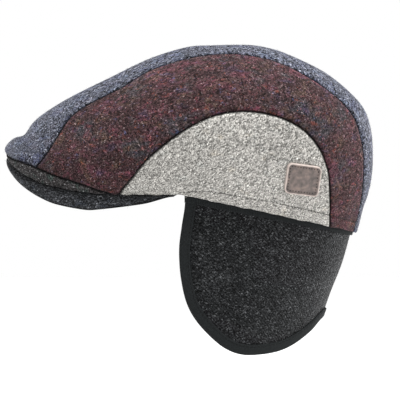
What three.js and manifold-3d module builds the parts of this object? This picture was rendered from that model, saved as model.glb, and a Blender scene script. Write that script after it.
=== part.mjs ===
import * as THREE from 'three';
import { mergeVertices } from 'three/addons/utils/BufferGeometryUtils.js';
import Module from 'manifold-3d';

// A flat cap of tweed panels with one flap for the ears and the neck, in millimetres.
// Up is +Z, the peak points to -X and the wearer's left side is at -Y.
// The origin is the centre of the head opening.

// Driving dimensions
const wall = 2.2; // tweed with its backing
const flapThick = 2.4; // boiled wool
const boardThick = 3.6; // peak board with cloth on both faces
const peakEnd = 3; // degrees left free at each temple
const rimShare = 0.55; // of the board's thickness, left at the peak's rim
const endShare = 0.35; // and at its two ends
const gap = 0.3; // between pieces that are sewn together
const tapeThick = 0.9;
const bindingWidth = 8;
const bindingGap = 0.84; // between the binding and the flap's faces
const edgeGap = 1.2; // between the binding and the flap's edge
const topTapeThick = 1.4;
const tapeBelowHem = { front: 6, back: 2.5 }; // how far the top tape shows under the rim
const sheetRow = 25; // spacing of the flap's rows, down the cloth
const noseWidth = 0.45; // powers that round the rings off in front, over the column named full
const noseRise = 0.65;
const label = { x: 59.8, z: 16.6, wide: 25.2, high: 22, corner: 3.6, tilt: -7.5, thick: 1.8 };

// Rings of the crown from the rim up to the top. Each ring goes through one point in front, one behind
// and one at each side. sag 0 keeps a ring straight in the side view, sag 1 makes it a round quarter.
// full is how long the ring keeps its width towards the front.
const crownRings = [
  { frontX: -158.3, frontZ: 34.2, backX: 102.4, backZ: -22.9,
    sideX: -28, sideY: 79, sideZ: 5, frontSag: 1, backSag: 0, full: 3.8 },
  { frontX: -161, frontZ: 38.5, backX: 104.3, backZ: -16.5,
    sideX: -24, sideY: 84.5, sideZ: 11, frontSag: 1, backSag: 0, full: 3.6 },
  { frontX: -159, frontZ: 44, backX: 107.2, backZ: -5,
    sideX: -18, sideY: 90, sideZ: 19, frontSag: 1, backSag: 0.1, full: 3.2 },
  { frontX: -153.5, frontZ: 48.2, backX: 111, backZ: 6,
    sideX: -10, sideY: 94.5, sideZ: 29, frontSag: 1, backSag: 0.2, full: 2.8 },
  { frontX: -146.5, frontZ: 50.2, backX: 114, backZ: 20,
    sideX: -4, sideY: 97.5, sideZ: 40, frontSag: 0.9, backSag: 0.4, full: 2.4 },
  { frontX: -140, frontZ: 59, backX: 114.8, backZ: 36,
    sideX: 2, sideY: 98.5, sideZ: 52, frontSag: 0.7, backSag: 0.6, full: 2.1 },
  { frontX: -130, frontZ: 67.2, backX: 113, backZ: 54,
    sideX: 6, sideY: 97, sideZ: 64, frontSag: 0.6, backSag: 0.8, full: 1.9 },
  { frontX: -110, frontZ: 79.4, backX: 107, backZ: 70.5,
    sideX: 10, sideY: 92, sideZ: 77, frontSag: 0.7, backSag: 1, full: 1.8 },
  { frontX: -82, frontZ: 93.5, backX: 93.5, backZ: 85.5,
    sideX: 12, sideY: 82, sideZ: 89.5, frontSag: 0.9, backSag: 1, full: 1.8 },
  { frontX: -52, frontZ: 108, backX: 75, backZ: 99,
    sideX: 13, sideY: 66, sideZ: 101, frontSag: 1, backSag: 1, full: 1.9 },
  { frontX: -25, frontZ: 116.3, backX: 50, backZ: 111,
    sideX: 13, sideY: 44, sideZ: 110.8, frontSag: 1, backSag: 1, full: 2 },
  { frontX: -6, frontZ: 117.7, backX: 28, backZ: 116.5,
    sideX: 12, sideY: 21, sideZ: 116.6, frontSag: 1, backSag: 1, full: 2 },
  { frontX: 11, frontZ: 118, backX: 11, backZ: 118,
    sideX: 11, sideY: 0, sideZ: 118, frontSag: 1, backSag: 1, full: 2 },
];

// Rows of the flap's sheet, 25 mm apart down the cloth. The second row is at the rim.
const flapRows = [
  { sideX: -28, sideY: 74.5, sideZ: 13.5, backX: 99, backZ: -15, backSag: 0 },
  { sideX: -28, sideY: 74.5, sideZ: 5.5, backX: 97.9, backZ: -22.9, backSag: 0 },
  { sideX: -28, sideY: 74.5, sideZ: -19.5, backX: 91.2, backZ: -46.4, backSag: 0 },
  { sideX: -28, sideY: 73.5, sideZ: -44.5, backX: 82, backZ: -70, backSag: 0 },
  { sideX: -28, sideY: 72, sideZ: -69.5, backX: 73.5, backZ: -93.5, backSag: 0 },
  { sideX: -28, sideY: 70, sideZ: -94.5, backX: 65, backZ: -117, backSag: 0 },
  { sideX: -28, sideY: 67.5, sideZ: -119.5, backX: 57, backZ: -140, backSag: 0 },
];

// Seams and edges as the side view shows them, x then z.
const navySeam = [
  [-148, 8], [-134, 26], [-128, 35.2], [-121.3, 46.1], [-110.1, 62.8], [-95.5, 73.1],
  [-72.9, 84.4], [-53.4, 96.5], [-28.8, 105], [-8.1, 108.9], [15.5, 109.1], [41, 103.8],
  [64.5, 92.3], [81.2, 81], [94.1, 69.3], [101.3, 57.2], [106.1, 36.6], [106.1, 12.9], [103.9, -6],
  [99.6, -22.3],
];
const bandSeam = [
  [-169, 42], [-157.6, 36.1], [-146.7, 29.7], [-134.4, 24.7], [-122.3, 19.6], [-101.7, 12.7],
  [-88, 8.5], [-79.4, 5.3], [-59, -6],
];
const halfMoon = [
  [-75.8, -8], [-73.8, 5.6], [-70.4, 10.3], [-64.5, 17.5], [-58.6, 25.1], [-52.8, 31.6],
  [-47, 36.8], [-41.1, 41.6], [-35.3, 46.2], [-29.5, 50.2], [-23.7, 53.8], [-12.1, 60],
  [-0.5, 63.9], [11.1, 65.8], [22.8, 65.8], [34.4, 64], [46.1, 60.6], [57.9, 54.6], [63.8, 49.8],
  [69.3, 43.8], [73.2, 38], [76, 32.2], [78.1, 26.4], [79.7, 20.2], [80.7, 8.8], [81.2, -2.9],
  [81.4, -30],
];
const flapEdge = [
  [-26.3, 13.7], [-26.1, -1.9], [-28.2, -16.1], [-30.2, -31.2], [-30.2, -43.9], [-28.9, -57],
  [-25.2, -73.2], [-18.7, -85.9], [-8.5, -97.7], [2.6, -107], [13.8, -111.9], [26.2, -112.8],
  [41.8, -110.7], [54, -105.5], [65.9, -96.6], [72.1, -89.8], [74.5, -87.3], [76.3, -86.1],
];
// What the peak adds outside the crown's edge, by degrees round from the temple to the nose.
const peakLip = [
  { turn: 0, out: 0, down: 0.5 },
  { turn: 5, out: 0.8, down: 0.9 },
  { turn: 12, out: 3, down: 5.7 },
  { turn: 30, out: 5, down: 11.8 },
  { turn: 45, out: 5.3, down: 10.4 },
  { turn: 58, out: 4.3, down: 7.2 },
  { turn: 72, out: 2.9, down: 4.4 },
  { turn: 90, out: 2, down: 1.8 },
];
const forehead = { x: -101, z: 22 }; // the peak's inner edge in the middle
const peakInner = { inward: 4, above: 0.2 }; // the same edge at the temples, measured from the rim

const radians = THREE.MathUtils.degToRad;
const { lerp } = THREE.MathUtils;

// The value of every column of a table at a level between its rows, on a smooth curve.
function between(table, level) {
  const low = THREE.MathUtils.clamp(Math.floor(level), 0, table.length - 2);
  const f = level - low;
  const row = (i, name) => {
    if (i < 0) return 2 * table[0][name] - table[1][name];
    if (i >= table.length) return 2 * table[table.length - 1][name] - table[table.length - 2][name];
    return table[i][name];
  };
  const values = {};
  for (const name of Object.keys(table[0])) {
    const [p, q, r, s] = [-1, 0, 1, 2].map((step) => row(low + step, name));
    values[name] = q + 0.5 * f * (r - p + f * (2 * p - 5 * q + 4 * r - s + f * (3 * (q - r) + s - p)));
  }
  return values;
}

// A point of a ring: turn 0 is the left side, 90 the back, 180 the right side and 270 the front.
function onRing(ring, turn) {
  const across = Math.abs(Math.sin(radians(turn)));
  const c = Math.cos(radians(turn));
  const back = Math.sin(radians(turn)) >= 0 || ring.frontX === undefined;
  const signed = ring.frontX === undefined ? Math.sin(radians(turn)) : across;
  const end = back ? { x: ring.backX, z: ring.backZ } : { x: ring.frontX, z: ring.frontZ };
  const sag = back ? ring.backSag : ring.frontSag;
  const run = back ? c * c : 1 - across ** ring.full;
  const rise = (1 - sag) * signed + sag * (1 - run ** (back ? 0.5 : noseRise));
  const width = run ** (back ? 0.5 : noseWidth);
  return new THREE.Vector3(
    ring.sideX + (end.x - ring.sideX) * signed,
    -ring.sideY * width * Math.sign(c),
    ring.sideZ + (end.z - ring.sideZ) * rise,
  );
}

const crownPoint = (level, turn) => onRing(between(crownRings, level), turn);
const flapPoint = (level, turn) => onRing(between(flapRows, level), turn);

// The outward normal of a surface given by level and turn.
function normalOf(surface, level, turn, top) {
  const [step, degrees] = [0.02, 0.5];
  const at = Math.min(level, top);
  const up = surface(at + step, turn).sub(surface(at - step, turn));
  const round = surface(at, turn + degrees).sub(surface(at, turn - degrees));
  return round.cross(up).normalize();
}
const crownNormal = (level, turn) => normalOf(crownPoint, level, turn, crownRings.length - 1.1);
const flapNormal = (level, turn) => normalOf(flapPoint, level, turn, flapRows.length).negate();

// The level and turn on the left half of a surface where the side view shows x and z.
function findOn(surface, x, z, level, turn) {
  let [v, u] = [level, turn];
  for (let round = 0; round < 40; round++) {
    const at = surface(v, u);
    const along = surface(v, u + 0.1).sub(at).divideScalar(0.1);
    const up = surface(v + 0.01, u).sub(at).divideScalar(0.01);
    const [dx, dz] = [x - at.x, z - at.z];
    const size = along.x * up.z - along.z * up.x;
    u += THREE.MathUtils.clamp((dx * up.z - dz * up.x) / size, -8, 8);
    v += THREE.MathUtils.clamp((along.x * dz - along.z * dx) / size, -0.5, 0.5);
    u = Math.min(u, 89.9);
  }
  return { level: v, turn: u };
}

// Moves along a surface by a distance in a direction given in space.
function stepOn(surface, { level, turn }, direction, distance) {
  const at = surface(level, turn);
  const along = surface(level, turn + 0.1).sub(at).divideScalar(0.1);
  const up = surface(level + 0.01, turn).sub(at).divideScalar(0.01);
  const [aa, au, uu] = [along.dot(along), along.dot(up), up.dot(up)];
  const [da, du] = [direction.dot(along), direction.dot(up)];
  const size = aa * uu - au * au;
  return {
    turn: turn + (distance * (da * uu - du * au)) / size,
    level: level + (distance * (du * aa - da * au)) / size,
  };
}

// Each place of a line on a surface, with the direction across the line, towards a point.
function acrossLine(surface, normal, places, towards) {
  return places.map((place, i) => {
    const before = places[Math.max(i - 1, 0)];
    const after = places[Math.min(i + 1, places.length - 1)];
    const tangent = surface(after.level, after.turn).sub(surface(before.level, before.turn));
    const inward = normal(place.level, place.turn).cross(tangent).normalize();
    if (inward.dot(towards.clone().sub(surface(place.level, place.turn))) < 0) inward.negate();
    return { place, inward };
  });
}
const moved = (surface, frames, distance) =>
  frames.map(({ place, inward }) => stepOn(surface, place, inward, distance));
const mirrored = ({ level, turn }) => ({ level, turn: 180 - turn });

// A closed mesh from corner points and faces, turned so that its faces point out.
function closedMesh(points, faces) {
  const position = new Float32Array(points.flatMap((p) => [p.x, p.y, p.z]));
  const plain = new THREE.BufferGeometry();
  plain.setAttribute('position', new THREE.BufferAttribute(position, 3));
  plain.setIndex(faces.flat());
  const merged = mergeVertices(plain, 1e-4);
  const at = (i) => new THREE.Vector3().fromBufferAttribute(merged.attributes.position, i);
  const kept = [];
  let volume = 0;
  for (let i = 0; i < merged.index.count; i += 3) {
    const [a, b, c] = [0, 1, 2].map((k) => merged.index.getX(i + k));
    if (a === b || b === c || a === c) continue;
    kept.push([a, b, c]);
    volume += at(a).dot(at(b).cross(at(c)));
  }
  merged.setIndex(kept.flatMap(([a, b, c]) => (volume > 0 ? [a, b, c] : [a, c, b])));
  return merged;
}

// A closed wall between an outer and an inner grid of points. A wrapped grid joins its last column
// to its first.
function wallBetween(outer, inner, wrapped) {
  const [rows, cols] = [outer.length, outer[0].length];
  const points = [...outer.flat(), ...inner.flat()];
  const shift = rows * cols;
  const at = (r, c) => r * cols + (c % cols);
  const faces = [];
  const quad = (a, b, c, d) => faces.push([a, b, c], [a, c, d]);
  const lastCol = wrapped ? cols : cols - 1;
  for (let c = 0; c < lastCol; c++) {
    for (let r = 0; r < rows - 1; r++) {
      quad(at(r, c), at(r, c + 1), at(r + 1, c + 1), at(r + 1, c));
      quad(shift + at(r, c), shift + at(r + 1, c), shift + at(r + 1, c + 1), shift + at(r, c + 1));
    }
    quad(at(0, c + 1), at(0, c), shift + at(0, c), shift + at(0, c + 1));
    quad(at(rows - 1, c), at(rows - 1, c + 1), shift + at(rows - 1, c + 1), shift + at(rows - 1, c));
  }
  if (!wrapped) {
    for (let r = 0; r < rows - 1; r++) {
      quad(at(r, 0), at(r + 1, 0), shift + at(r + 1, 0), shift + at(r, 0));
      const end = cols - 1;
      quad(at(r + 1, end), at(r, end), shift + at(r, end), shift + at(r + 1, end));
    }
  }
  return closedMesh(points, faces);
}

// A grid of values: one row for each v and one column for each u.
const grid = (vs, us, value) => vs.map((v) => us.map((u) => value(v, u)));
const steps = (from, to, count) => Array.from({ length: count + 1 }, (_, i) => lerp(from, to, i / count));

const wasm = await Module();
wasm.setup();

function toSolid(geometry) {
  const bare = geometry.clone();
  bare.deleteAttribute('normal');
  bare.deleteAttribute('uv');
  const merged = mergeVertices(bare, 1e-4);
  const vertProperties = new Float32Array(merged.attributes.position.array);
  const triVerts = new Uint32Array(merged.index.array);
  return new wasm.Manifold(new wasm.Mesh({ numProp: 3, vertProperties, triVerts }));
}

function toGeometry(solid) {
  const mesh = solid.getMesh();
  const geometry = new THREE.BufferGeometry();
  geometry.setAttribute('position', new THREE.BufferAttribute(new Float32Array(mesh.vertProperties), 3));
  geometry.setIndex(new THREE.BufferAttribute(new Uint32Array(mesh.triVerts), 1));
  geometry.computeVertexNormals();
  return geometry;
}

// The points of a seam on a smooth curve, moved sideways by a distance: to the right of its
// direction when the distance is more than 0.
function seamPoints(seam, count, sideways) {
  const curve = new THREE.SplineCurve(seam.map(([x, z]) => new THREE.Vector2(x, z)));
  return steps(0, 1, count).map((t) => {
    const direction = curve.getTangentAt(t);
    return curve.getPointAt(t).add(new THREE.Vector2(direction.y, -direction.x).multiplyScalar(sideways));
  });
}

// What lies under a seam in the side view, from one y to another.
const lowerThanRim = -70;
function underSeam(seam, count, sideways, fromY, toY) {
  const points = seamPoints(seam, count, sideways);
  const below = [points.at(-1).x, points[0].x].map((x) => new THREE.Vector2(x, lowerThanRim));
  const outline = [...points, ...below];
  const block = new THREE.ExtrudeGeometry(new THREE.Shape(outline), {
    depth: toY - fromY,
    bevelEnabled: false,
  });
  block.rotateX(Math.PI / 2).translate(0, toY, 0);
  return toSolid(block);
}

// Crown: one shell, cut along its seams into panels
const crownTurns = steps(0, 360, 44).slice(0, -1);
const crownLevels = [0, 0.5, 1, 1.6, 2.3, 3, 3.6, 4.3, 5, 6, 7, 8, 9, 10, 11, 12];
const crownShell = toSolid(
  wallBetween(
    grid(crownLevels, crownTurns, crownPoint),
    grid(crownLevels, crownTurns, (v, u) => crownPoint(v, u).addScaledVector(crownNormal(v, u), -wall)),
    true,
  ),
);

const far = 130;
const half = gap / 2;
const levelBelowRim = -0.5;
const seamClearance = { outside: 4, inside: 6 };
const navyPlaces = (() => {
  const points = seamPoints(navySeam, 40, 0);
  let near = { level: 0, turn: -75 }; // close to where the seam starts
  return points.map((point) => (near = findOn(crownPoint, point.x, point.y, near.level, near.turn)));
})();
const navyFrames = acrossLine(crownPoint, crownNormal, navyPlaces, crownPoint(3, 0));
// What lies under the centre strip's seam, cut square to the cloth.
function navyBlock(distance, otherSide) {
  const onLeft = moved(crownPoint, navyFrames, distance);
  const places = otherSide ? onLeft.map(mirrored) : onLeft;
  const face = (height) => (v, { level, turn }) => {
    const low = lerp(levelBelowRim, level, v);
    return crownPoint(low, turn).addScaledVector(crownNormal(Math.max(low, 0.03), turn), height);
  };
  const vs = steps(0, 1, 8);
  const { outside, inside } = seamClearance;
  return toSolid(wallBetween(grid(vs, places, face(outside)), grid(vs, places, face(-inside)), false));
}
const bandBlock = (sideways) => underSeam(bandSeam, 12, sideways, -far, far);
const moonBlock = (sideways, from, to) => underSeam(halfMoon, 24, sideways, from, to);

const frontBand = crownShell.intersect(bandBlock(half));
const aboveBand = crownShell.subtract(bandBlock(-half));
const centreStrip = aboveBand.subtract(navyBlock(-half, false)).subtract(navyBlock(-half, true));
const sidePanel = (right) => {
  const moon = right ? moonBlock(-half, 0, far) : moonBlock(-half, -far, 0);
  return aboveBand.intersect(navyBlock(half, right)).subtract(moon);
};
const sideInsert = (from, to) => aboveBand.intersect(moonBlock(half, from, to));

// Peak: a board that passes just under the crown's edge
function peakPoint(row, turn) {
  const round = turn <= 270 ? turn - 180 : 360 - turn;
  const lip = between(peakLip, peakLevel(round));
  const edge = crownPoint(0, turn);
  const seat = edge.clone().add(new THREE.Vector3(0, 0, -2.5 * gap));
  const outward = new THREE.Vector3(edge.x - crownRings[0].sideX, edge.y, 0).normalize();
  const across = Math.abs(Math.sin(radians(turn)));
  const side = crownRings[0];
  const inner = new THREE.Vector3(
    lerp(side.sideX, forehead.x, across),
    -(side.sideY - peakInner.inward) * Math.cos(radians(turn)),
    lerp(side.sideZ + peakInner.above, forehead.z, across),
  );
  if (row < 1) return inner.lerp(seat, row);
  const w = row - 1;
  const drop = lip.down * (0.4 * w + 0.6 * w * w);
  return seat.addScaledVector(outward, lip.out * (1 - (1 - w) ** 2)).add(new THREE.Vector3(0, 0, -drop));
}

function peakLevel(round) {
  const next = peakLip.findIndex(({ turn }) => turn >= round);
  if (next <= 0) return 0;
  return next - 1 + (round - peakLip[next - 1].turn) / (peakLip[next].turn - peakLip[next - 1].turn);
}

function peakGeometry() {
  const turns = steps(180 + peakEnd, 360 - peakEnd, 36);
  const rows = [0, 0.5, 0.99, 1.25, 1.6, 2];
  const up = (v, u) => normalOf((a, b) => peakPoint(a, b), v, u, 1.97).negate();
  const top = grid(rows, turns, peakPoint);
  const under = grid(rows, turns, (v, u) => {
    const normal = up(Math.max(v, 0.03), u);
    if (normal.z < 0) normal.negate();
    const rim = v > 1.9 ? rimShare : 1;
    const end = Math.min(1, endShare + 4 * Math.abs(Math.sin(radians(u))));
    return peakPoint(v, u).addScaledVector(normal, -boardThick * rim * end);
  });
  return wallBetween(top, under, false);
}

// Earflap: a bent sheet, laid out from its edge as the side view shows it
const edgeCount = 60;
const cornerStep = 28; // where the edge's front part becomes its lower part
const edgePlaces = (() => {
  const curve = new THREE.SplineCurve(flapEdge.map(([x, z]) => new THREE.Vector2(x, z)));
  return curve.getSpacedPoints(edgeCount).map(({ x, y: z }) => {
    const level = THREE.MathUtils.clamp(1 + (5.5 - z) / sheetRow - (x + 28) / 110, 0.2, 5.5);
    return findOn(flapPoint, x, z, level, THREE.MathUtils.clamp((x + 28) * 0.8, 0, 80));
  });
})();
// The middle of the back, where both halves of the edge meet.
edgePlaces[edgeCount].turn = 90;

const edgeFrames = acrossLine(flapPoint, flapNormal, edgePlaces, flapPoint(2, 45));
edgeFrames[edgeCount].inward.set(0, 0, 1);
const insetPlaces = moved(flapPoint, edgeFrames, tapeThick + edgeGap);
insetPlaces[edgeCount].turn = 90;

function placeOnFlap(u, v) {
  const edge = (k) => {
    const low = Math.min(Math.floor(k), edgeCount - 1);
    const [a, b] = [insetPlaces[low], insetPlaces[low + 1]];
    return { level: lerp(a.level, b.level, k - low), turn: lerp(a.turn, b.turn, k - low) };
  };
  const [start, corner, end] = [insetPlaces[0], insetPlaces[cornerStep], insetPlaces[edgeCount]];
  const front = edge(v * cornerStep);
  const lower = edge(cornerStep + u * (edgeCount - cornerStep));
  const top = { level: lerp(start.level, 0, Math.min(1, u * 6)), turn: lerp(start.turn, 90, u) };
  const back = { level: lerp(0, end.level, v), turn: 90 };
  const mix = (name) => {
    const corners =
      (1 - u) * (1 - v) * start[name] +
      u * (1 - v) * (name === 'turn' ? 90 : 0) +
      (1 - u) * v * corner[name] +
      u * v * end[name];
    return (1 - u) * front[name] + u * back[name] + (1 - v) * top[name] + v * lower[name] - corners;
  };
  return { level: mix('level'), turn: mix('turn') };
}

function earflapGeometry() {
  const us = steps(0, 2, 32);
  const vs = steps(0, 1, 14).filter((_, i) => i !== 1);
  const place = (v, u) => (u <= 1 ? placeOnFlap(u, v) : mirrored(placeOnFlap(2 - u, v)));
  const face = (height) => (v, u) => {
    const { level, turn } = place(v, u);
    return flapPoint(level, turn).addScaledVector(flapNormal(level, turn), height);
  };
  return wallBetween(grid(vs, us, face(0)), grid(vs, us, face(-flapThick)), false);
}

// Binding: tape folded over the free edge, from below the top tape on one side to the other
function bindingGeometry() {
  const outside = bindingGap + tapeThick;
  const section = [
    [bindingWidth, bindingGap], [bindingWidth, outside], [0.9, outside], [0, 0.5], [0, -flapThick - 0.5],
    [0.9, -flapThick - outside], [bindingWidth, -flapThick - outside],
    [bindingWidth, -flapThick - bindingGap], [tapeThick, -flapThick - bindingGap], [tapeThick, bindingGap],
  ];
  const first = edgePlaces.findIndex(({ level }) => level > 1 + (tapeBelowHem.front + 1) / sheetRow);
  const frames = [];
  for (let i = first + ((edgeCount - first) % 2); i <= edgeCount; i += 2) frames.push(edgeFrames[i]);
  const ring = ({ place, inward }, other) =>
    section.map(([inwards, height]) => {
      const at = stepOn(flapPoint, place, inward, inwards);
      const { level, turn } = other ? mirrored(at) : at;
      return flapPoint(level, turn).addScaledVector(flapNormal(level, turn), height);
    });
  const rings = [
    ...frames.map((frame) => ring(frame, false)),
    ...frames.slice(0, -1).reverse().map((frame) => ring(frame, true)),
  ];
  const sides = section.length;
  const faces = [];
  for (let r = 0; r < rings.length - 1; r++) {
    for (let k = 0; k < sides; k++) {
      const [a, b] = [r * sides + k, r * sides + ((k + 1) % sides)];
      faces.push([a, b, b + sides], [a, b + sides, a + sides]);
    }
  }
  const outline = section.map(([x, y]) => new THREE.Vector2(x, y));
  const cap = THREE.ShapeUtils.triangulateShape(outline, []);
  const last = (rings.length - 1) * sides;
  for (const [a, b, c] of cap) {
    faces.push([a, c, b], [last + a, last + b, last + c]);
  }
  return closedMesh(rings.flat(), faces);
}

// Top tape: on the flap's outer face, from inside the rim to a little below it
function topTapeGeometry() {
  const start = edgePlaces[0].turn;
  const turns = steps(start, 180 - start, 48);
  const { front, back } = tapeBelowHem;
  const below = (turn) => lerp(front, back, Math.sin(radians(Math.max(turn, 0))));
  const levelAt = (v, turn) => lerp(0.35, 1 + below(turn) / sheetRow, v);
  const face = (height) => (v, turn) => {
    const level = levelAt(v, turn);
    return flapPoint(level, turn).addScaledVector(flapNormal(level, turn), height);
  };
  const vs = [0, 1];
  return wallBetween(grid(vs, turns, face(gap + topTapeThick)), grid(vs, turns, face(2 * gap)), false);
}

// Label: a rounded leather patch that follows the crown
function labelGeometry() {
  const { wide, high, corner, tilt, thick } = label;
  const shape = new THREE.Shape();
  const [w, h] = [wide / 2, high / 2];
  shape.moveTo(w, -h + corner).lineTo(w, h - corner);
  shape.absarc(w - corner, h - corner, corner, 0, Math.PI / 2);
  shape.lineTo(-w + corner, h).absarc(-w + corner, h - corner, corner, Math.PI / 2, Math.PI);
  shape.lineTo(-w, -h + corner).absarc(-w + corner, -h + corner, corner, Math.PI, 1.5 * Math.PI);
  shape.lineTo(w - corner, -h).absarc(w - corner, -h + corner, corner, 1.5 * Math.PI, 2 * Math.PI);
  const outline = shape.getSpacedPoints(24).slice(0, -1);
  const middle = new THREE.Vector2(0, 0);
  const onCrown = (height) => (scale, point) => {
    const { x, y } = point.clone().multiplyScalar(scale).rotateAround(middle, radians(tilt));
    const { level, turn } = findOn(crownPoint, label.x + x, label.z + y, 3, 45);
    return crownPoint(level, turn).addScaledVector(crownNormal(level, turn), height);
  };
  const scales = [1, 0.5, 0];
  const outer = grid(scales, outline, onCrown(gap + thick));
  return wallBetween(outer, grid(scales, outline, onCrown(gap)), true);
}

// Cloths
const cloth = (color) => new THREE.MeshStandardMaterial({ color, roughness: 0.95, metalness: 0 });
const navyTweed = cloth(0x5f616f);
const burgundyTweed = cloth(0x524043);
const greyTweed = cloth(0xadaba5);
const bandTweed = cloth(0x3d3e3f);
const peakTweed = cloth(0x313335);
const flapWool = cloth(0x2f3032);
const blackTape = cloth(0x24282a);
const leather = new THREE.MeshStandardMaterial({ color: 0x827975, roughness: 0.6, metalness: 0 });

const cap = new THREE.Group();
function add(name, geometry, material) {
  const mesh = new THREE.Mesh(geometry, material);
  mesh.name = name;
  cap.add(mesh);
}
add('crown_centre_strip', toGeometry(centreStrip), navyTweed);
add('crown_side_left', toGeometry(sidePanel(false)), burgundyTweed);
add('crown_side_right', toGeometry(sidePanel(true)), burgundyTweed);
add('side_insert_left', toGeometry(sideInsert(-far, 0)), greyTweed);
add('side_insert_right', toGeometry(sideInsert(0, far)), greyTweed);
add('front_band', toGeometry(frontBand), bandTweed);
add('peak', peakGeometry(), peakTweed);
add('earflap', earflapGeometry(), flapWool);
add('earflap_binding', bindingGeometry(), blackTape);
add('earflap_top_tape', topTapeGeometry(), blackTape);
add('label_patch', labelGeometry(), leather);

export default cap;
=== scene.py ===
import math
from statistics import NormalDist
import bpy
import numpy as np
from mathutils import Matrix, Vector, geometry, kdtree


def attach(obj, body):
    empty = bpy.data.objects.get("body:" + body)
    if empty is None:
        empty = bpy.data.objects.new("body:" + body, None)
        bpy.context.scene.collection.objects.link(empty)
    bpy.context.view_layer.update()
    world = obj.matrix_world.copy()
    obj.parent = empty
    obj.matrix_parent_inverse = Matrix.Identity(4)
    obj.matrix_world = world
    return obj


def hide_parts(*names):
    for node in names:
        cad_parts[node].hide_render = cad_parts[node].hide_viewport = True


# An earflap cap: a flat cap of tweed panels with a bound wool flap for the ears and the neck.
# Lengths in this script are millimetres until a mesh is made. The peak points to -X, up is +Z and
# the wearer's left side is at -Y.

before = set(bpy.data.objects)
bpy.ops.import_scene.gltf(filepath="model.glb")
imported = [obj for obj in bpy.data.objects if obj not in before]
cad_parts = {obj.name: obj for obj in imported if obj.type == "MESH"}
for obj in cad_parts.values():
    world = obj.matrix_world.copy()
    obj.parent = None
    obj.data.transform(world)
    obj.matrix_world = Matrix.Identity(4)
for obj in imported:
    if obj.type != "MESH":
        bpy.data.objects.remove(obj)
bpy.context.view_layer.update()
MM = 0.001
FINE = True

# The cap's own sizes
WALL = 2.2
FLAP_THICK = 2.4
BOARD_THICK = 3.6
TAPE_THICK = 0.9
BINDING_WIDTH = 8.0
TOP_TAPE_THICK = 1.4
TAPE_BELOW_HEM = (6.0, 2.5)  # at the temples, at the nape
SHEET_ROW = 25.0
PEAK_END = 3.0  # degrees from the temple to the peak's end
NOSE_WIDTH = 0.45
NOSE_RISE = 0.65
GAP = 0.3
PEAK_INWARD, PEAK_ABOVE = 4, 0.2  # where the board's inner edge starts, beside the rim
PEAK_UNDER = 2.5 * GAP  # the peak's board below the crown's edge
PEAK_TUCK, TUCK_FADE = 1.7 * GAP, 6  # how much closer its ends are, fading over so many degrees
FOREHEAD = (-101.0, 22.0)
LABEL = dict(x=59.8, z=16.6, wide=25.2, high=22.0, corner=3.6, tilt=-7.5, thick=1.8)

# Rings of the crown from the rim to the top: points in front, behind and at the side, how far each
# quarter sags in the side view, and how long the ring keeps its width towards the front.
RING_COLUMNS = ("front_x", "front_z", "back_x", "back_z", "side_x", "side_y", "side_z",
                "front_sag", "back_sag", "full")
CROWN_RINGS = np.array([
    (-158.3, 34.2, 102.4, -22.9, -28, 79, 5, 1, 0, 3.8),
    (-161, 38.5, 104.3, -16.5, -24, 84.5, 11, 1, 0, 3.6),
    (-159, 44, 107.2, -5, -18, 90, 19, 1, 0.1, 3.2),
    (-153.5, 48.2, 111, 6, -10, 94.5, 29, 1, 0.2, 2.8),
    (-146.5, 50.2, 114, 20, -4, 97.5, 40, 0.9, 0.4, 2.4),
    (-140, 59, 114.8, 36, 2, 98.5, 52, 0.7, 0.6, 2.1),
    (-130, 67.2, 113, 54, 6, 97, 64, 0.6, 0.8, 1.9),
    (-110, 79.4, 107, 70.5, 10, 92, 77, 0.7, 1, 1.8),
    (-82, 93.5, 93.5, 85.5, 12, 82, 89.5, 0.9, 1, 1.8),
    (-52, 108, 75, 99, 13, 66, 101, 1, 1, 1.9),
    (-25, 116.3, 50, 111, 13, 44, 110.8, 1, 1, 2),
    (-6, 117.7, 28, 116.5, 12, 21, 116.6, 1, 1, 2),
    (11, 118, 11, 118, 11, 0, 118, 1, 1, 2),
])
# Rows of the flap's sheet, 25 mm apart down the cloth: back x and z, side x, y and z.
FLAP_ROWS = np.array([
    (99, -15, -28, 74.5, 13.5),
    (97.9, -22.9, -28, 74.5, 5.5),
    (91.2, -46.4, -28, 74.5, -19.5),
    (82, -70, -28, 73.5, -44.5),
    (73.5, -93.5, -28, 72, -69.5),
    (65, -117, -28, 70, -94.5),
    (57, -140, -28, 67.5, -119.5),
])
# Seams and edges as the side view shows them, x and z.
NAVY_SEAM = [
    (-135.7, 25.5), (-128, 35.2), (-121.3, 46.1), (-110.1, 62.8), (-95.5, 73.1), (-72.9, 84.4),
    (-53.4, 96.5), (-28.8, 105), (-8.1, 108.9), (15.5, 109.1), (41, 103.8), (64.5, 92.3), (81.2, 81),
    (94.1, 69.3), (101.3, 57.2), (106.1, 36.6), (106.1, 12.9), (103.9, -6), (99.6, -22.3),
]
BAND_SEAM = [
    (-157.6, 36.1), (-146.7, 29.7), (-134.4, 24.7), (-122.3, 19.6), (-101.7, 12.7), (-90, 8.5),
    (-80.3, 6),
]
HALF_MOON = [
    (-74, 5.3), (-70.4, 10.3), (-64.5, 17.5), (-58.6, 25.1), (-52.8, 31.6), (-47, 36.8),
    (-41.1, 41.6), (-35.3, 46.2), (-29.5, 50.2), (-23.7, 53.8), (-12.1, 60), (-0.5, 63.9),
    (11.1, 65.8), (22.8, 65.8), (34.4, 64), (46.1, 60.6), (57.9, 54.6), (63.8, 49.8), (69.3, 43.8),
    (73.2, 38), (76, 32.2), (78.1, 26.4), (79.7, 20.2), (80.7, 8.8), (81.2, -2.9), (81.3, -18.2),
]
HEM_LINE = [
    (-29.6, 6.5), (-15, 7.2), (0.4, 6.1), (26.6, 1.5), (47.2, -2.3), (79.4, -9.5), (96.9, -14),
    (103.4, -15.5),
]
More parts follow.
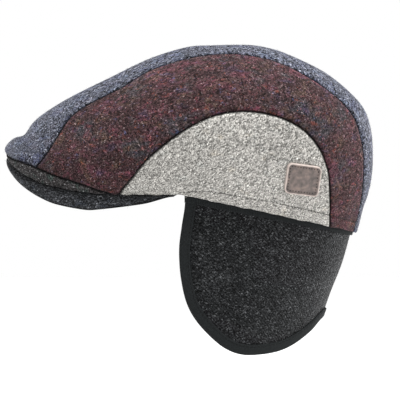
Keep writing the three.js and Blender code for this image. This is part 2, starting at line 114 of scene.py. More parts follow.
FLAP_EDGE = [
    (-26.3, 13.7), (-26.1, -1.9), (-28.2, -16.1), (-30.2, -31.2), (-30.2, -43.9), (-28.9, -57),
    (-25.2, -73.2), (-18.7, -85.9), (-8.5, -97.7), (2.6, -107), (13.8, -111.9), (26.2, -112.8),
    (41.8, -110.7), (54, -105.5), (65.9, -96.6), (72.1, -89.8), (74.5, -87.3), (76.3, -86.1),
]
# What the peak adds outside the crown's edge, by degrees round from the temple to the nose.
PEAK_LIP = np.array([
    # turn, out, down
    (0, 0, 0.5), (5, 0.8, 0.9), (12, 3, 5.7), (30, 5, 11.8), (45, 5.3, 10.4), (58, 4.3, 7.2),
    (72, 2.9, 4.4), (90, 2, 1.8),
])


def columns(*parts):
    return np.stack(parts, axis=-1)


def sin_cos(degrees):
    return np.sin(np.radians(degrees)), np.cos(np.radians(degrees))


def as_arrays(*values):
    return np.broadcast_arrays(*(np.atleast_1d(value).astype(float) for value in values))


def between(table, level):
    """Rows of a table at levels between its own rows, on a smooth curve."""
    last = len(table) - 1
    padded = np.vstack([2 * table[0] - table[1], table, 2 * table[-1] - table[-2]])
    low = np.clip(np.floor(level), 0, last - 1).astype(int)
    f = (level - low)[:, None]
    p, q, r, s = (padded[low + k] for k in range(4))
    return q + 0.5 * f * (r - p + f * (2 * p - 5 * q + 4 * r - s + f * (3 * (q - r) + s - p)))


def crown_point(level, turn):
    """Points of the crown: turn 0 is the left side, 90 the back, 180 the right side, -90 the front."""
    level, turn = as_arrays(level, turn)
    row = dict(zip(RING_COLUMNS, between(CROWN_RINGS, level).T))
    s, c = sin_cos(turn)
    back, across = s >= 0, np.abs(s)
    end_x = np.where(back, row["back_x"], row["front_x"])
    end_z = np.where(back, row["back_z"], row["front_z"])
    sag = np.where(back, row["back_sag"], row["front_sag"])
    run = np.where(back, c * c, np.maximum(1 - across ** row["full"], 0))
    rise = (1 - sag) * across + sag * (1 - run ** np.where(back, 0.5, NOSE_RISE))
    width = run ** np.where(back, 0.5, NOSE_WIDTH)
    x = row["side_x"] + (end_x - row["side_x"]) * across
    y = -row["side_y"] * width * np.sign(c)
    z = row["side_z"] + (end_z - row["side_z"]) * rise
    return columns(x, y, z)


def flap_point(level, turn):
    level, turn = as_arrays(level, turn)
    back_x, back_z, side_x, side_y, side_z = between(FLAP_ROWS, level).T
    s, c = sin_cos(turn)
    return columns(side_x + (back_x - side_x) * s, -side_y * c, side_z + (back_z - side_z) * s)


def unit(v):
    return v / np.maximum(np.linalg.norm(v, axis=-1, keepdims=True), 1e-9)


def normal_of(surface, level, turn, top, sign):
    step, degrees = 0.02, 0.5
    at = np.minimum(level, top)
    up = surface(at + step, turn) - surface(at - step, turn)
    round_ = surface(at, turn + degrees) - surface(at, turn - degrees)
    return sign * unit(np.cross(round_, up))


def crown_normal(level, turn):
    return normal_of(crown_point, level, turn, len(CROWN_RINGS) - 1.05, 1)


def flap_normal(level, turn):
    return normal_of(flap_point, level, turn, 99, -1)


def slopes(surface, level, turn):
    at = surface(level, turn)
    along = (surface(level, turn + 0.1) - at) / 0.1
    up = (surface(level + 0.01, turn) - at) / 0.01
    return at, along, up


def find_on(surface, x, z, level, turn):
    """The levels and turns on the left half where the side view shows x and z."""
    x, z = np.atleast_1d(x), np.atleast_1d(z)
    level, turn = np.full(x.shape, float(level)), np.full(x.shape, float(turn))
    for _ in range(40):
        at, along, up = slopes(surface, level, turn)
        dx, dz = x - at[:, 0], z - at[:, 2]
        size = along[:, 0] * up[:, 2] - along[:, 2] * up[:, 0]
        turn = np.minimum(turn + np.clip((dx * up[:, 2] - dz * up[:, 0]) / size, -8, 8), 89.9)
        level = level + np.clip((along[:, 0] * dz - along[:, 2] * dx) / size, -0.5, 0.5)
    return columns(level, turn)


def step_on(surface, places, direction, distance):
    """Places moved along a surface by a distance in directions given in space."""
    level, turn = places.T
    _, along, up = slopes(surface, level, turn)
    aa, au, uu = (np.sum(a * b, axis=1) for a, b in ((along, along), (along, up), (up, up)))
    da, du = np.sum(direction * along, axis=1), np.sum(direction * up, axis=1)
    size = aa * uu - au * au
    return columns(level + distance * (du * aa - da * au) / size,
                   turn + distance * (da * uu - du * au) / size)


def run_along(points):
    """The length of a line of points up to each of them."""
    return np.concatenate([[0], np.cumsum(np.linalg.norm(np.diff(points, axis=0), axis=1))])


def at_even_steps(table, run, count):
    even = np.linspace(0, run[-1], count)
    return columns(*(np.interp(even, run, column) for column in table.T))


def smooth_line(points, count):
    """A smooth curve through points, at even spacing."""
    table = np.array(points, float)
    fine = between(table, np.linspace(0, len(table) - 1, 1500))
    return at_even_steps(fine, run_along(fine), count)


def places_of(surface, seam, start, count=80):
    """Levels and turns under a seam of the side view, evenly spaced on the surface."""
    near, found = start, []
    for x, z in smooth_line(seam, count):
        near = find_on(surface, x, z, *near)[0]
        found.append(near)
    return np.array(found)


def even_places(surface, places, spacing):
    run = run_along(surface(*places.T))
    return at_even_steps(places, run, max(int(round(run[-1] / spacing)), 2) + 1)


def across_line(surface, normal, places, towards):
    """The direction on the surface square to a line of places, on the side of a point."""
    points = surface(*places.T)
    tangent = np.gradient(points, axis=0)
    inward = unit(np.cross(normal(*places.T), tangent))
    flip = np.sign(np.sum(inward * (np.array(towards) - points), axis=1))
    return inward * np.where(flip == 0, 1, flip)[:, None]


def mirrored(places):
    return columns(places[:, 0], 180 - places[:, 1])


def placed(name, data):
    made = bpy.data.objects.new(name, data)
    bpy.context.scene.collection.objects.link(made)
    return made


def mesh_object(name, points, faces, uv=None, attributes=None):
    """A mesh object from points in millimetres, with the cloth's own UV map in metres."""
    mesh = bpy.data.meshes.new(name)
    mesh.from_pydata((np.asarray(points) * MM).tolist(), [], [list(map(int, f)) for f in faces])
    mesh.update()
    mesh.shade_smooth()
    if uv is not None:
        layer = mesh.uv_layers.new(name="cloth")
        corner = np.empty(len(mesh.loops), dtype=np.int32)
        mesh.loops.foreach_get("vertex_index", corner)
        layer.uv.foreach_set("vector", (np.asarray(uv)[corner] * MM).ravel())
    for label, values in (attributes or {}).items():
        mesh.attributes.new(label, "FLOAT", "POINT").data.foreach_set("value", np.asarray(values, float))
    return placed(name, mesh)


def grid_faces(rows, cols, wrapped=False, shift=0, turned=False):
    faces = []
    for r in range(rows - 1):
        for c in range(cols if wrapped else cols - 1):
            a, b = r * cols + c, r * cols + (c + 1) % cols
            face = (a, b, b + cols, a + cols)
            faces.append([shift + i for i in (reversed(face) if turned else face)])
    return faces


def facing_out(points, faces):
    """The faces of a closed form, all turned round if the volume in them comes out negative."""
    volume = sum(np.dot(points[f[0]], np.cross(points[f[k]], points[f[k + 1]]))
                 for f in faces for k in range(1, len(f) - 1))
    return faces if volume > 0 else [list(reversed(f)) for f in faces]


# Crown seams, as places on the crown
SEAM_STEP = 1.0 if FINE else 2.0
TOP = len(CROWN_RINGS) - 1


def plane(places):
    """The crown laid out round its top: a flat chart with no pole."""
    level, turn = np.asarray(places).T
    s, c = sin_cos(turn)
    return columns((TOP - level) * c, (TOP - level) * s)


def from_plane(points):
    u, v = np.asarray(points).T
    return columns(TOP - np.hypot(u, v), np.degrees(np.arctan2(v, u)))


band_half = places_of(crown_point, BAND_SEAM[1:], (1.4, -68), 40)
band_left = even_places(crown_point, np.vstack([[0.62, -90], band_half]), SEAM_STEP)
band_left[-1, 0] = 0
navy_left = places_of(crown_point, NAVY_SEAM, (1.3, -58), 120)
moon_left = places_of(crown_point, HALF_MOON, (0, -22), 120)
moon_left[0, 0] = moon_left[-1, 0] = 0
hem_left = places_of(crown_point, HEM_LINE, (0.3, 0), 80)

# The navy seam starts on the band seam, at the band's point nearest to it.
band_points = crown_point(*band_left.T)
junction = int(np.argmin(np.linalg.norm(band_points - crown_point(*navy_left[0]), axis=1)))
navy_left[0] = band_left[junction]
navy_left[-1, 0] = 0
navy_left = even_places(crown_point, navy_left, SEAM_STEP)
moon_left = even_places(crown_point, moon_left, SEAM_STEP)
hem_left = even_places(crown_point, hem_left, SEAM_STEP)


def rim_between(turn_a, turn_b):
    count = max(int(abs(turn_b - turn_a) * 1.6 / SEAM_STEP), 2)
    return columns(np.zeros(count + 1), np.linspace(turn_a, turn_b, count + 1))


def joined(*lines):
    """One closed loop from lines that each start where the one before ended."""
    return np.vstack([line[:-1] for line in lines])


band_right = mirrored(band_left)
navy_end, moon_front, moon_back = navy_left[-1, 1], moon_left[0, 1], moon_left[-1, 1]
band_end = band_left[-1, 1]

loops = {
    "crown_centre_strip": joined(
        navy_left, rim_between(navy_end, 180 - navy_end), mirrored(navy_left)[::-1],
        band_right[junction::-1], band_left[:junction + 1],
    ),
    "crown_side_left": joined(
        navy_left, rim_between(navy_end, moon_back), moon_left[::-1],
        rim_between(moon_front, band_end), band_left[junction:][::-1],
    ),
    "side_insert_left": joined(moon_left, rim_between(moon_back, moon_front)),
    "front_band": joined(
        band_left[::-1], band_right, rim_between(180 - band_end, 360 + band_end),
    ),
}
for name in ("crown_side", "side_insert"):
    loops[name + "_right"] = mirrored(loops[name + "_left"])[::-1]

# Where the cloth dips: seams between panels, the fold of the rim, and the line of hem stitches.
seam_lines = [navy_left, mirrored(navy_left), moon_left, mirrored(moon_left), band_left, band_right]
hem_lines = [hem_left, mirrored(hem_left)]
rim_line = rim_between(-180, 180)


def tree_of_points(points):
    tree = kdtree.KDTree(len(points))
    for i, p in enumerate(points):
        tree.insert(p, i)
    tree.balance()
    return tree


def tree_of(surface, lines):
    return tree_of_points(np.vstack([surface(*even_places(surface, line, 0.5).T) for line in lines]))


def distances(tree, points):
    return np.array([tree.find(p)[2] for p in points])


trees = [tree_of(crown_point, lines) for lines in (seam_lines, hem_lines, [rim_line])]


def from_lines(points):
    """Distances from the nearest seam, line of the hem, and rim."""
    return [distances(tree, points) for tree in trees]


SEAM_DIP, SEAM_REACH = 1.15, 1.0
SEAM_PUFF, PUFF_AT, PUFF_REACH = 0.35, 3.6, 2.4
HEM_DIP, HEM_REACH = 0.55, 1.1
NET_STEP = 0.19 if FINE else 0.3  # in the flat chart, whose rings are 1 apart
NET_CLEAR = 3.1, 2.6, 2.6  # mm from seams, hem and rim, where rows of their own are laid
OUTLINE_CLEAR = 0.028  # in the chart too
RING_MM = 9.0  # about how far apart the crown's rings are
SHADE_BY_HEM = 1.05, 0.5  # the painted shade along the sewn hem is fainter than along a seam
ROWS_BY_SEAM = (0.45, 0.95, 1.6, 2.5)
ROWS_BY_HEM = (0, 0.6, 1.3, 2.1)
ROWS_BY_RIM = (0.25, 0.7, 1.2, 2.0)


def puckers(points):
    """Slow uneven swell of steamed cloth, in millimetres."""
    x, y, z = points.T
    return (0.35 * np.sin(x / 17 + y / 23) * np.cos(z / 19 - y / 31)
            + 0.22 * np.sin(x / 9.5 - z / 12 + 1.3) * np.cos(y / 11 + 0.4))


def rounded(distance, thick):
    """How far each face of a sheet draws in near an edge, for an edge that is half round."""
    half = thick / 2
    k = 1 - np.clip(distance / half, 0, 1)
    return half * (1 - np.sqrt(np.maximum(1 - k ** 2, 0)))


def crown_height(points, seam, hem, rim):
    """How far the crown's cloth stands off its form, by the distances from seams, hem and rim."""
    lift = -SEAM_DIP * np.exp(-(seam / SEAM_REACH) ** 1.4)
    lift += SEAM_PUFF * np.exp(-((seam - PUFF_AT) / PUFF_REACH) ** 2)
    lift -= HEM_DIP * np.exp(-(hem / HEM_REACH) ** 2)
    return lift + puckers(points) * np.clip(seam / 8, 0, 1) * np.clip(rim / 10, 0, 1)


def rows_beside(lines, offsets):
    made = []
    for line in lines:
        line = even_places(crown_point, line, SEAM_STEP)
        side = across_line(crown_point, crown_normal, line, (0, 0, 40))
        for offset in offsets:
            for sign in ((1, -1) if offset else (1,)):
                made.append(step_on(crown_point, line, side, sign * offset))
    return np.vstack(made)


extra_rows = plane(np.vstack([
    rows_beside(seam_lines, ROWS_BY_SEAM), rows_beside(hem_lines, ROWS_BY_HEM),
    rows_beside([rim_line], ROWS_BY_RIM),
]))


def inside(loop, points):
    """Which points lie in a closed loop of the flat chart."""
    x, y = points.T
    within = np.zeros(len(points), bool)
    for (x0, y0), (x1, y1) in zip(loop, np.roll(loop, -1, axis=0)):
        crosses = (y0 > y) != (y1 > y)
        if crosses.any():
            at = x0 + (y - y0) * (x1 - x0) / (y1 - y0 + 1e-12)
            within ^= crosses & (x < at)
    return within


def crown_panel(name):
    """A panel of the crown: a net of even triangles laid in its outline, given a thickness."""
    outline = plane(loops[name])
    low, high = outline.min(axis=0), outline.max(axis=0)
    xs = np.arange(low[0], high[0], NET_STEP)
    ys = np.arange(low[1], high[1], NET_STEP * 0.87)
    net = np.array([(x + (k % 2) * NET_STEP / 2, y) for k, y in enumerate(ys) for x in xs])
    net = net[inside(outline, net)]
    bare = crown_point(*from_plane(net).T)
    away = np.all([far > clear for far, clear in zip(from_lines(bare), NET_CLEAR)], axis=0)
    rows = extra_rows[inside(outline, extra_rows)]
    edge, beside = (np.pad(flat, ((0, 0), (0, 1))) for flat in (outline, rows))
    clear = distances(tree_of_points(edge), beside) > OUTLINE_CLEAR
    verts = [Vector(p) for p in np.vstack([outline, net[away], rows[clear]])]
    flat, _, faces, *_ = geometry.delaunay_2d_cdt(verts, [], [list(range(len(outline)))], 1, 1e-5)
    flat = np.array(flat)
    places = from_plane(flat)
    bare, normal = crown_point(*places.T), crown_normal(*places.T)
    seam, hem, rim = from_lines(bare)
    lift, fold = crown_height(bare, seam, hem, rim), rounded(rim, WALL)
    # The distance that paints shade at the seams and, fainter, at the hem line
    shade = np.minimum(seam, SHADE_BY_HEM[0] + SHADE_BY_HEM[1] * hem)
    # The turned-up edge isn't quite straight
    x, y = bare[:, 0], bare[:, 1]
    drawn = 0.15 * (np.sin(x / 3.3) + np.sin(x / 1.7 + 1.3) + np.sin(y / 2.9 + 0.4))
    bare = bare + np.array([0, 0, 1]) * (drawn * np.exp(-(rim / 3.5) ** 2))[:, None]
    outer = bare + normal * (lift - fold)[:, None]
    inner = bare + normal * (0.4 * np.minimum(lift, 0) - WALL + fold)[:, None]
    count = len(outer)
    edges = dict.fromkeys(edge for f in faces for edge in zip(f, f[1:] + f[:1]))
    solid = (list(faces) + [[i + count for i in reversed(f)] for f in faces]
             + [(b, a, a + count, b + count) for a, b in edges if (b, a) not in edges])
    points = np.vstack([outer, inner])
    uv = np.vstack([flat, flat]) * RING_MM
    return mesh_object(name + "_cloth", points, facing_out(points, solid), uv,
                       {"painted_shade_mm": np.concatenate([shade, np.full(count, RING_MM)])})


pieces = {name: crown_panel(name) for name in loops}


def wall_object(name, outer, inner, uv, attributes=None):
    """A closed wall between two grids of points, with the grid's border walled all round."""
    rows, cols = outer.shape[:2]
    at = np.arange(rows * cols).reshape(rows, cols)
    count = at.size
    faces = grid_faces(rows, cols) + grid_faces(rows, cols, False, count, True)
    round_ = [*at[0, ::-1], *at[1:, 0], *at[-1, 1:], *at[-2:0:-1, -1]]
    faces += [[a, b, count + b, count + a] for a, b in zip(round_, round_[1:] + round_[:1])]
    points = np.vstack([outer.reshape(-1, 3), inner.reshape(-1, 3)])
    both = {k: np.concatenate([v.ravel()] * 2) for k, v in (attributes or {}).items()}
    return mesh_object(name, points, facing_out(points, faces), np.vstack([uv.reshape(-1, 2)] * 2), both)


# Peak: a curved board that passes just under the crown's edge
def from_end(turn):
    """Degrees from the nearer end of the peak."""
    return np.minimum(turn + 180 - PEAK_END, -PEAK_END - turn)


def peak_top(row, turn):
    """Points of the board's upper face: row 0 is its inner edge, 1 under the crown's edge, 2 its rim."""
    row, turn = np.broadcast_arrays(np.asarray(row, float), np.asarray(turn, float))
    shape = row.shape
    row, turn = row.ravel(), turn.ravel()
    round_ = np.where(turn >= -90, -turn, 180 + turn)
    out = np.interp(round_, PEAK_LIP[:, 0], PEAK_LIP[:, 1])
    down = np.interp(round_, PEAK_LIP[:, 0], PEAK_LIP[:, 2])
    edge = crown_point(0, turn)
    s, c = sin_cos(turn)
    across = np.abs(s)
    side_x, side_y, side_z = CROWN_RINGS[0, 4:7]
    end_z = side_z + PEAK_ABOVE
    inner = columns(side_x + (FOREHEAD[0] - side_x) * across, -(side_y - PEAK_INWARD) * c,
                    end_z + (FOREHEAD[1] - end_z) * across)
    # The board's thin ends tuck up closer under the hem
    tuck = PEAK_TUCK * np.exp(-np.maximum(from_end(turn), 0) / TUCK_FADE)
    seat = edge - np.array([0, 0, 1]) * (PEAK_UNDER - tuck)[:, None]
    outward = unit(columns(edge[:, 0] - side_x, edge[:, 1], 0 * out))
    w = np.clip(row - 1, 0, 1)
    lip = seat + outward * (out * (1 - (1 - w) ** 2))[:, None]
    lip[:, 2] -= down * (0.4 * w + 0.6 * w * w)
    board = inner + (seat - inner) * np.clip(row, 0, 1)[:, None]
    return np.where((row < 1)[:, None], board, lip).reshape(*shape, 3)


def softened(values, passes):
    """A grid of values smoothed down its columns and along its rows."""
    values = values.copy()
    for _ in range(passes):
        values[1:-1] = 0.5 * values[1:-1] + 0.25 * (values[:-2] + values[2:])
        values[:, 1:-1] = 0.5 * values[:, 1:-1] + 0.25 * (values[:, :-2] + values[:, 2:])
    return values


def make_peak():
    turns = np.linspace(-180 + PEAK_END, -PEAK_END, 241 if FINE else 121)
    rows = np.concatenate([np.linspace(0, 0.08, 7)[:-1], np.linspace(0.08, 1, 26)[:-1],
                           np.linspace(1, 1.85, 18)[:-1], np.linspace(1.85, 2, 9)])
    top = softened(peak_top(rows[:, None], turns[None, :]), 6)
    along = np.gradient(top, axis=1)
    down = np.gradient(top, axis=0)
    normal = unit(np.cross(along, down))
    normal = softened(normal * np.where(normal[..., 2:] < 0, -1, 1), 4)
    step = np.linalg.norm(np.diff(top, axis=0), axis=2)
    from_inner = np.vstack([np.zeros((1, len(turns))), np.cumsum(step, axis=0)])
    to_rim = from_inner[-1] - from_inner
    ends = from_end(turns) * 1.6  # in mm; thin there, and at full thickness 22 mm on
    thick = BOARD_THICK * np.clip(0.16 + ends / 26, 0.16, 1)
    fold = rounded(np.minimum(np.minimum(from_inner, to_rim), ends), thick)
    outer = top - normal * fold[..., None]
    inner = top - normal * (thick - fold)[..., None]
    uv = columns(np.broadcast_to(np.arange(1, len(turns) + 1) * 1.35, to_rim.shape), from_inner)
    # The distance to the rim paints shade along the peak's rim, on its top and its underside
    return wall_object("peak_cloth", outer, inner, uv, {"painted_shade_mm": to_rim})


# Earflap: one bent sheet for both ears and the neck
EDGE_COUNT, CORNER = 240, 112
edge_places = places_of(flap_point, FLAP_EDGE, (0.7, 1), EDGE_COUNT + 1)
edge_places[-1, 1] = 90
edge_side = across_line(flap_point, flap_normal, edge_places, flap_point(2, 45)[0])
edge_side[-1] = (0, 0, 1)


def flap_face(places, height):
    """Points at a height over the flap's outer face, which waves a little below its sewn top."""
    points = flap_point(*places.T)
    x, y, z = points.T
    wave = 0.5 * np.sin(x / 21 + z / 33) * np.cos(z / 17 - y / 40) + 0.25 * np.sin(x / 9 - z / 14)
    wave = wave * np.clip((places[:, 0] - 1.2) / 1.2, 0, 1) * 0.6
    return points + flap_normal(*places.T) * (height + wave)[:, None]


def edge_at(places, k):
    """Places between the numbered ones of an edge."""
    low = np.clip(np.floor(k).astype(int), 0, len(places) - 2)
    f = (k - low)[..., None]
    return places[low] * (1 - f) + places[low + 1] * f


def make_earflap():
    """The flap's left half, filled in between its four edges, and its mirror image."""
    inset = step_on(flap_point, edge_places, edge_side, TAPE_THICK + 4 * GAP)
    cols, rows = (131, 111) if FINE else (61, 51)
    u, v = np.meshgrid(np.linspace(0, 1, cols), np.linspace(0, 1, rows))
    low_end, top_left = inset[-1], inset[0]
    front, lower = edge_at(inset, v * CORNER), edge_at(inset, CORNER + u * (EDGE_COUNT - CORNER))
    top = columns(top_left[0] * (1 - np.minimum(u * 6, 1)), top_left[1] + (90 - top_left[1]) * u)
    back = columns(low_end[0] * v, np.full_like(v, 90))
    u, v = u[..., None], v[..., None]
    corners = ((1 - u) * (1 - v) * top_left + u * (1 - v) * np.array([0, 90])
               + (1 - u) * v * inset[CORNER] + u * v * low_end)
    left = (1 - u) * front + u * back + (1 - v) * top + v * lower - corners
    right = left[:, -2::-1].copy()
    right[..., 1] = 180 - right[..., 1]
    places = np.concatenate([left, right], axis=1).reshape(-1, 2)
    near = distances(tree_of(flap_point, [inset, mirrored(inset)]), flap_point(*places.T))
    fold = rounded(near, FLAP_THICK)
    outer, inner = (flap_face(places, height).reshape(rows, 2 * cols - 1, 3)
                    for height in (-fold, fold - FLAP_THICK))
    uv = columns(places[:, 1] * 1.6, places[:, 0] * -SHEET_ROW)
    # The distance to the bound edge paints shade along it, mostly hidden under the binding
    return wall_object("earflap_wool", outer, inner, uv, {"painted_shade_mm": near})


def swept(name, rings, uv):
    """A closed bar through rings of points, capped at both ends."""
    count, sides = rings.shape[:2]
    faces = grid_faces(count, sides, True)
    faces += [list(range(sides))[::-1], [(count - 1) * sides + i for i in range(sides)]]
    points = rings.reshape(-1, 3)
    return mesh_object(name, points, facing_out(points, faces), uv.reshape(-1, 2))


# The binding starts under the top tape, at this one of the edge's places
BINDING_FIRST = int(np.argmax(edge_places[:, 0] > 1 + (TAPE_BELOW_HEM[0] + 0.6) / SHEET_ROW))


def make_binding():
    """Tape folded over the flap's free edge, from one temple round under both ears to the other."""
    clear = 0.35
    outside = clear + TAPE_THICK
    deep = FLAP_THICK + outside
    width = BINDING_WIDTH
    bulge = np.linspace(-90, 90, 11)
    mid, half_deep = -FLAP_THICK / 2, FLAP_THICK / 2 + outside
    outer_turn = [(1.2 - 1.2 * math.cos(math.radians(a)), mid - half_deep * math.sin(math.radians(a)))
                  for a in bulge]
    section = np.array(
        [(width - 0.1, clear), (width + 0.15, clear + 0.45 * TAPE_THICK), (width - 0.25, outside)]
        + [(w, outside + 0.12) for w in np.linspace(width - 1.2, 1.6, 5)] + outer_turn
        + [(w, -deep) for w in np.linspace(1.6, width - 0.6, 5)]
        + [(width, -deep + 0.45 * TAPE_THICK), (width - 0.3, -FLAP_THICK - clear),
           (TAPE_THICK + 0.4, -FLAP_THICK - clear), (TAPE_THICK, mid), (TAPE_THICK + 0.4, clear)])
    first = BINDING_FIRST
    places = np.vstack([edge_places[first:], mirrored(edge_places[:-1])[::-1][:EDGE_COUNT - first]])
    side = np.vstack([edge_side[first:], (edge_side[:-1] * (1, -1, 1))[::-1][:EDGE_COUNT - first]])
    rings = np.stack([flap_face(step_on(flap_point, places, side, inward), height)
                      for inward, height in section], axis=1)
    uv = columns(*np.broadcast_arrays(run_along(rings[:, 8])[:, None], run_along(section)))
    stitch_line = flap_face(step_on(flap_point, places, side, width - 1.5), outside + 0.1)
    return swept("earflap_binding_tape", rings, uv), stitch_line


def make_top_tape():
    start = edge_places[0, 1]
    turns = np.linspace(start, 180 - start, 321 if FINE else 161)
    at_front = (edge_places[BINDING_FIRST, 0] - 1) * SHEET_ROW - 0.1  # down to where the binding starts
    share = np.clip(sin_cos(turns)[0], 0, 1)
    high, low = 0.35, 1 + (at_front + (TAPE_BELOW_HEM[1] - at_front) * share) / SHEET_ROW
    v = np.concatenate([np.linspace(0, 0.06, 4)[:-1], np.linspace(0.06, 0.94, 10)[:-1],
                        np.linspace(0.94, 1, 5)])
    level = high + (low - high) * v[:, None]
    turn = np.broadcast_to(turns, level.shape)
    bare, normal = (of(level.ravel(), turn.ravel()).reshape(*level.shape, 3)
                    for of in (flap_point, flap_normal))
    near = np.minimum(level - high, low - level) * SHEET_ROW
    ends = np.minimum(turns - start, 180 - start - turns) * 1.4  # in mm
    fold = rounded(np.minimum(near, ends), TOP_TAPE_THICK - 0.4)
    outer = bare + normal * (GAP + TOP_TAPE_THICK - fold)[..., None]
    inner = bare + normal * (0.4 + GAP + fold)[..., None]
    uv = columns(turn * 1.5, level * SHEET_ROW)
    return wall_object("earflap_top_tape_strip", outer, inner, uv)


# Label: a leather patch that follows the crown, with a raised rim and a plain sunk field
FIELD_SHARE = 0.6  # of the label's thickness
LABEL_SUNK = -0.5
MARKS_IN = 2.3  # from the label's edge to its stitches


def rounded_square(wide, high, corner):
    """A ring of points, nine round each corner and fourteen along each side."""
    w, h = wide / 2 - corner, high / 2 - corner
    centres = np.array([(w, h), (-w, h), (-w, -h), (w, -h)])
    points = []
    for k in range(4):
        s, c = sin_cos(np.linspace(90 * k, 90 * k + 90, 9))
        arc = centres[k] + corner * columns(c, s)
        side = (centres[(k + 1) % 4] - centres[k]) * np.linspace(0, 1, 16)[1:-1, None]
        points += [arc, arc[-1] + side]
    return np.vstack(points)


def on_label(flat, height):
    """Points over the crown from flat places on the label."""
    tilt = math.radians(LABEL["tilt"])
    turned = flat @ np.array([[math.cos(tilt), math.sin(tilt)], [-math.sin(tilt), math.cos(tilt)]])
    places = find_on(crown_point, LABEL["x"] + turned[:, 0], LABEL["z"] + turned[:, 1], 2.6, 48)
    return crown_point(*places.T) + crown_normal(*places.T) * np.asarray(height)[:, None]


def make_label():
    wide, high, corner, thick = (LABEL[k] for k in ("wide", "high", "corner", "thick"))
    # The inset from the edge and the share of the thickness there
    profile = [(0, 0.5), (0.12, 0.82), (0.35, 0.98), (0.6, 1), (0.85, 0.93), (1.05, 0.72), (1.25, 0.62)]
    profile += [(inset, FIELD_SHARE) for inset in (2.2, 3.2, 4.6, 6.2, 8, 9.6)]
    insets, shares = np.array(profile).T
    rings = [rounded_square(wide - 2 * inset, high - 2 * inset, max(corner - inset * 0.8, 0.25))
             for inset in insets]
    flat, count = np.vstack(rings), len(rings[0])
    # The face, its edge sunk in the cloth, and the middles of the face and of the underside
    points = np.vstack([
        on_label(flat, GAP + thick * np.repeat(shares, count)),
        on_label(rings[0], np.full(count, LABEL_SUNK)),
        on_label(np.zeros((2, 2)), [GAP + thick * FIELD_SHARE, LABEL_SUNK])])
    faces = grid_faces(len(profile), count, True)
    last, start = (len(profile) - 1) * count, len(flat)
    for c in range(count):
        n = (c + 1) % count
        faces.append([last + c, last + n, start + count])
        faces.append([n, c, start + c, start + n])
        faces.append([start + n, start + c, start + count + 1])
    edge = np.concatenate([np.repeat(insets, count), np.zeros(count), [11.0, 11.0]])
    uv = np.vstack([flat, rings[0], [[0, 0], [0, 0]]])
    return mesh_object("label_patch_leather", points, facing_out(points, faces), uv, {"edge_mm": edge})


peak = make_peak()
earflap = make_earflap()
binding, binding_stitch_line = make_binding()
top_tape = make_top_tape()
label = make_label()


# Materials
YARN_MM = 0.5
DRIFT = 0.08  # how much paler and darker the cloth gets from place to place


def hex_colour(code):
    """An sRGB hex colour as linear red, green and blue."""
    parts = [int(code[i:i + 2], 16) / 255 for i in (1, 3, 5)]
    return [p / 12.92 if p <= 0.04045 else ((p + 0.055) / 1.055) ** 2.4 for p in parts] + [1.0]


def add_node(tree, kind, settings=None, inputs=None):
    """One node with its settings, and its inputs given as values or as sockets to link."""
    node = tree.nodes.new(kind)
    for key, value in (settings or {}).items():
        setattr(node, key, value)
    for key, value in (inputs or {}).items():
        socket = node.inputs[key]
        if isinstance(value, bpy.types.NodeSocket):
            tree.links.new(value, socket)
        else:
            socket.default_value = value
    return node


def maths(tree, operation, *values, clamp=False):
    return add_node(tree, "ShaderNodeMath", {"operation": operation, "use_clamp": clamp},
                    dict(enumerate(values))).outputs[0]


def scaled(tree, colour, value):
    return add_node(tree, "ShaderNodeVectorMath", {"operation": "SCALE"},
                    {0: colour, "Scale": value}).outputs[0]


def ranged(tree, value, span, to, kind="LINEAR"):
    """A value carried from one span to another."""
    return add_node(tree, "ShaderNodeMapRange", {"interpolation_type": kind}, {
        "Value": value, "From Min": span[0], "From Max": span[1], "To Min": to[0], "To Max": to[1],
    }).outputs[0]


def noise(tree, where, scale, detail, roughness=0.5):
    return add_node(tree, "ShaderNodeTexNoise", inputs={
        "Vector": where, "Scale": scale, "Detail": detail, "Roughness": roughness}).outputs["Fac"]


def ribs(tree, where, period_mm, distortion, detail_scale=1.0):
    """Even ribs of a weave. A wave texture runs through 20 radians a unit."""
    return add_node(tree, "ShaderNodeTexWave", {"wave_profile": "SIN"}, {
        "Vector": where, "Scale": 2 * math.pi * 1000 / (20 * period_mm), "Distortion": distortion,
        "Detail": 2.0, "Detail Scale": detail_scale}).outputs["Fac"]


def ramp(tree, value, stops):
    """A colour read by a value from a scale of colours."""
    node = add_node(tree, "ShaderNodeValToRGB", inputs={"Fac": value})
    scale = node.color_ramp.elements
    while len(scale) > 1:
        scale.remove(scale[-1])
    scale[0].position, scale[0].color = stops[0][0], hex_colour(stops[0][1])
    for position, code in stops[1:]:
        scale.new(position).color = hex_colour(code)
    return node.outputs["Color"]


def mix(tree, factor, a, b):
    return add_node(tree, "ShaderNodeMix", {"data_type": "RGBA"},
                    {"Factor": factor, "A": a, "B": b}).outputs["Result"]


def cloth_places(tree):
    return add_node(tree, "ShaderNodeUVMap", {"uv_map": "cloth"}).outputs[0]


def attribute(tree, name):
    return add_node(tree, "ShaderNodeAttribute", {"attribute_name": name}).outputs["Fac"]


def new_material(name):
    """A material with its tree, its shader and the places on the object to lay textures by."""
    made = bpy.data.materials.new(name)
    made.use_nodes = True
    tree = made.node_tree
    tree.nodes.clear()
    shader = add_node(tree, "ShaderNodeBsdfPrincipled")
    add_node(tree, "ShaderNodeOutputMaterial", inputs={"Surface": shader.outputs[0]})
    return made, tree, shader, add_node(tree, "ShaderNodeTexCoord").outputs["Object"]


def surface(tree, shader, colour, roughness, specular, relief=None):
    """Colour and gloss, and the relief where there is one: its height, strength and depth in mm."""
    tree.links.new(colour, shader.inputs["Base Color"])
    shader.inputs["Roughness"].default_value = roughness
    shader.inputs["Specular IOR Level"].default_value = specular
    if relief:
        bump = add_node(tree, "ShaderNodeBump", inputs={
            "Height": relief[0], "Strength": relief[1], "Distance": relief[2] * MM})
        tree.links.new(bump.outputs[0], shader.inputs["Normal"])


